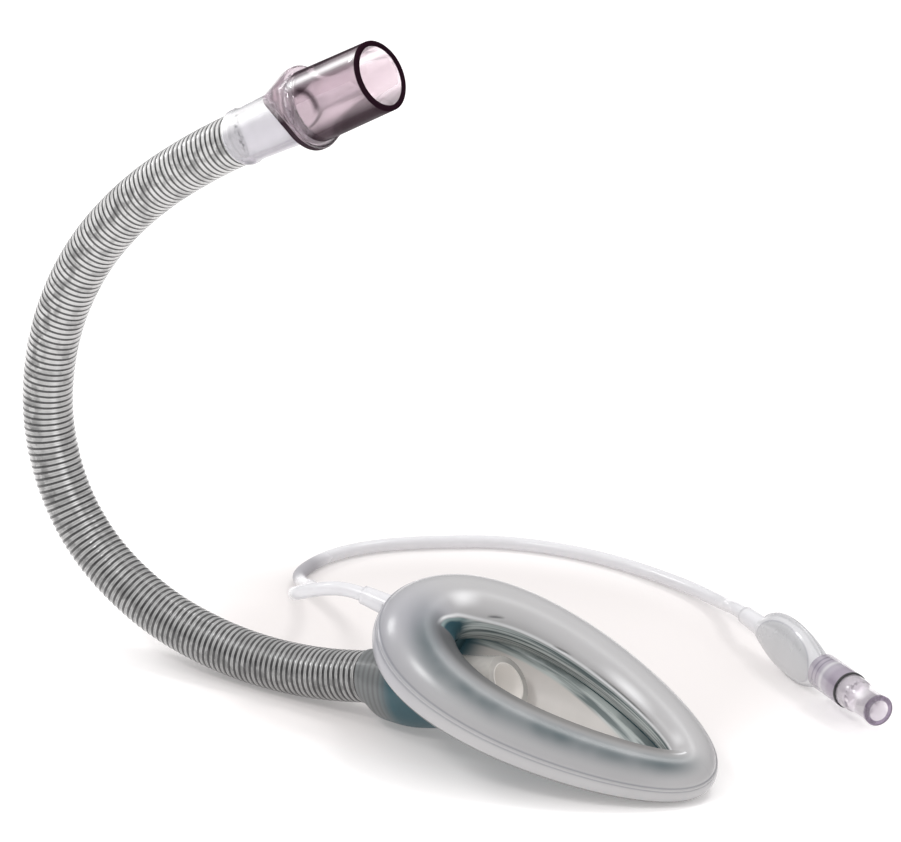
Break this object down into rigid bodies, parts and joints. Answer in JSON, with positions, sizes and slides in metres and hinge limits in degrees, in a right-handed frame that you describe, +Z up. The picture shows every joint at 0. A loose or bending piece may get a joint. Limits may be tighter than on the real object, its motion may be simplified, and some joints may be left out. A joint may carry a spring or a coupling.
{
  "type": "laryngeal mask airway",
  "caption": "Wire-reinforced laryngeal mask airway: a 15 mm connector, a bent flexible tube, a mask with an inflated cuff, and a thin line to a pilot balloon with a spring valve.",
  "frame": {"origin": "on the surface it lies on, under the middle of the box round everything but the inflation line and what is on it", "axes": "+Z up; the bent tube stands in a plane of X and Z with the mask's tip towards +X; the inflation line and its valve lie on the +Y side"},
  "size_m": [0.1902, 0.1237, 0.1482],
  "materials": {
    "connector": "clear mauve",
    "collar": "clear",
    "tube_liner": "satin",
    "wire_layer": "clear skin over bright wire turns",
    "spout": "satin",
    "backplate": "satin",
    "bowl_floor": "satin",
    "cuff": "frosted",
    "line": "satin",
    "balloon": "clear film",
    "valve": "gloss",
    "gasket": "matte",
    "valve_cap": "clear",
    "plunger": "gloss",
    "spring": "bright"
  },
  "bodies": {
    "airway": {"airway_connector": "connector", "tube_collar": "collar", "airway_tube": "tube_liner", "wire_coil": "wire_layer", "mask_spout": "spout", "mask_backplate": "backplate", "bowl_floor": "bowl_floor", "inflatable_cuff": "cuff", "cuff_tail": "cuff", "inflation_line": "line", "line_sleeve": "line", "pilot_balloon": "balloon", "valve_body": "valve", "valve_gasket": "gasket", "valve_cap": "valve_cap"},
    "plunger": {"valve_plunger": "plunger", "plunger_seal": "gasket", "valve_spring": "spring"}
  },
  "joints": [
    {"name": "plunger_press", "type": "slide", "parent": "airway", "child": "plunger", "axis": [-0.859, 0.512, 0], "range_m": [0, 0.0015], "stiffness_N_per_m": 300, "springref_m": -0.002}
  ]
}
